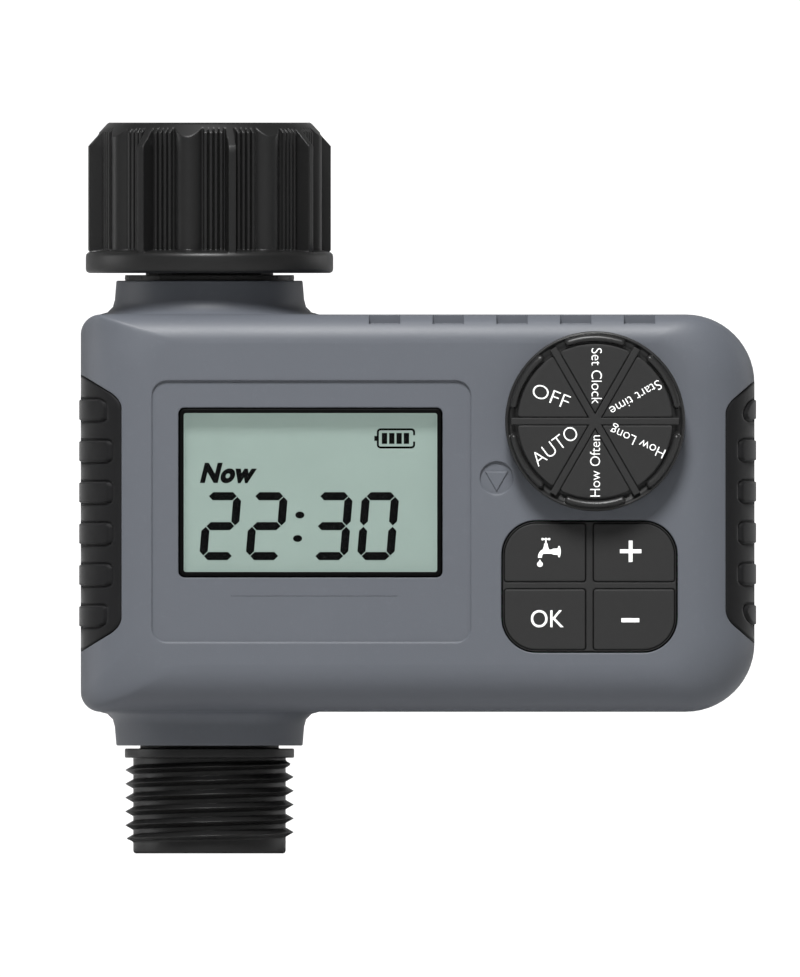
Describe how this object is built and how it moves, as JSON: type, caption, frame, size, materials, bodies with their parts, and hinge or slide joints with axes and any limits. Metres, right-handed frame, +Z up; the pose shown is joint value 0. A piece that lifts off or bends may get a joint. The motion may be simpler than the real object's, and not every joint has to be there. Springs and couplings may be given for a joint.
{
  "type": "drip irrigation timer",
  "caption": "Tap-mounted watering timer: grey housing with display, rotary selector and keypad, a motor-driven ball valve, a swivel inlet nut above and a threaded hose outlet below",
  "frame": {"origin": "on the water axis at the tap seat, the top of the sealing washer inside the swivel nut", "axes": "+X to the right of the face, +Y from the face to the back, +Z up towards the tap"},
  "size_m": [0.1084, 0.0507, 0.117],
  "materials": {
    "housing_plastic": "grey ABS, fine moulded grain",
    "black_plastic": "black glass-filled nylon, satin",
    "black_rubber": "black rubber, matte",
    "dial_plastic": "dark grey ABS, satin",
    "dial_label": "dark grey printed plate",
    "clear_window": "clear polycarbonate",
    "lcd_glass": "grey-green reflective display",
    "board_laminate": "green solder mask",
    "white_plastic": "white ABS",
    "acetal": "natural acetal",
    "steel": "zinc-plated steel",
    "brass": "turned brass",
    "cell_skin": "printed shrink sleeve, plain blue"
  },
  "bodies": {
    "housing": {"front_housing": "housing_plastic", "rear_housing": "housing_plastic", "inlet_tube": "black_plastic", "valve_body": "black_plastic", "outlet_spigot": "black_plastic", "display_bezel": "black_plastic", "key_frame": "black_plastic", "battery_tray": "black_plastic", "left_grip": "black_rubber", "right_grip": "black_rubber", "sealing_washer": "black_rubber", "inlet_o_ring": "black_rubber", "outlet_o_ring": "black_rubber", "stem_o_ring": "black_rubber", "dial_seal": "black_rubber", "lcd_connector": "black_rubber", "keypad_mat": "black_rubber", "door_gasket": "black_rubber", "display_window": "clear_window", "lcd_panel": "lcd_glass", "circuit_board": "board_laminate", "gearbox_case": "white_plastic", "gearbox_cover": "white_plastic", "rotary_switch": "white_plastic", "filter_screen": "acetal", "inlet_seat": "acetal", "outlet_seat": "acetal", "idler_pin": "steel", "motor_can": "steel", "contact_positive": "steel", "contact_negative": "steel", "contact_link": "steel", "door_hinge_pin": "steel", "housing_screw_1": "steel", "housing_screw_2": "steel", "housing_screw_3": "steel", "housing_screw_4": "steel", "board_screw_1": "steel", "board_screw_2": "steel", "board_screw_3": "steel", "board_screw_4": "steel", "battery_left": "cell_skin", "battery_right": "cell_skin"},
    "nut": {"swivel_nut": "black_plastic"},
    "dial": {"dial_knob": "dial_plastic", "dial_label_disc": "dial_label", "dial_shaft": "acetal"},
    "manual_key": {"key_manual": "dial_plastic"},
    "plus_key": {"key_plus": "dial_plastic"},
    "ok_key": {"key_ok": "dial_plastic"},
    "minus_key": {"key_minus": "dial_plastic"},
    "ball_train": {"valve_ball": "white_plastic", "valve_stem": "brass", "output_gear": "acetal"},
    "idler": {"idler_gear": "acetal"},
    "rotor": {"motor_pinion": "brass", "motor_shaft": "steel"},
    "door": {"battery_door": "housing_plastic"}
  },
  "joints": [
    {"name": "nut_spin", "type": "hinge", "parent": "housing", "child": "nut", "pos_m": [0, 0, 0], "axis": [0, 0, 1], "continuous": true},
    {"name": "dial_turn", "type": "hinge", "parent": "housing", "child": "dial", "pos_m": [0.0617, 0, -0.0318], "axis": [0, 1, 0], "continuous": true},
    {"name": "ball_turn", "type": "hinge", "parent": "housing", "child": "ball_train", "pos_m": [0, 0, -0.0465], "axis": [1, 0, 0], "range_deg": [0, 90]},
    {"name": "idler_turn", "type": "hinge", "parent": "housing", "child": "idler", "pos_m": [0, 0.005, -0.03294], "axis": [1, 0, 0], "range_deg": [-216, 0]},
    {"name": "motor_turn", "type": "hinge", "parent": "housing", "child": "rotor", "pos_m": [0, 0.0085, -0.04505], "axis": [1, 0, 0], "range_deg": [0, 691.2]},
    {"name": "door_open", "type": "hinge", "parent": "housing", "child": "door", "pos_m": [0.0494, 0.0207, -0.0465], "axis": [0, 0, 1], "range_deg": [0, 105]},
    {"name": "manual_press", "type": "slide", "parent": "housing", "child": "manual_key", "axis": [0, 1, 0], "range_m": [0, 0.0008], "stiffness_N_per_m": 600, "springref_m": -0.0003},
    {"name": "plus_press", "type": "slide", "parent": "housing", "child": "plus_key", "axis": [0, 1, 0], "range_m": [0, 0.0008], "stiffness_N_per_m": 600, "springref_m": -0.0003},
    {"name": "ok_press", "type": "slide", "parent": "housing", "child": "ok_key", "axis": [0, 1, 0], "range_m": [0, 0.0008], "stiffness_N_per_m": 600, "springref_m": -0.0003},
    {"name": "minus_press", "type": "slide", "parent": "housing", "child": "minus_key", "axis": [0, 1, 0], "range_m": [0, 0.0008], "stiffness_N_per_m": 600, "springref_m": -0.0003}
  ],
  "couplings": [
    {"joint": "idler_turn", "follows": "ball_turn", "ratio": -2.4},
    {"joint": "motor_turn", "follows": "ball_turn", "ratio": 7.68}
  ]
}
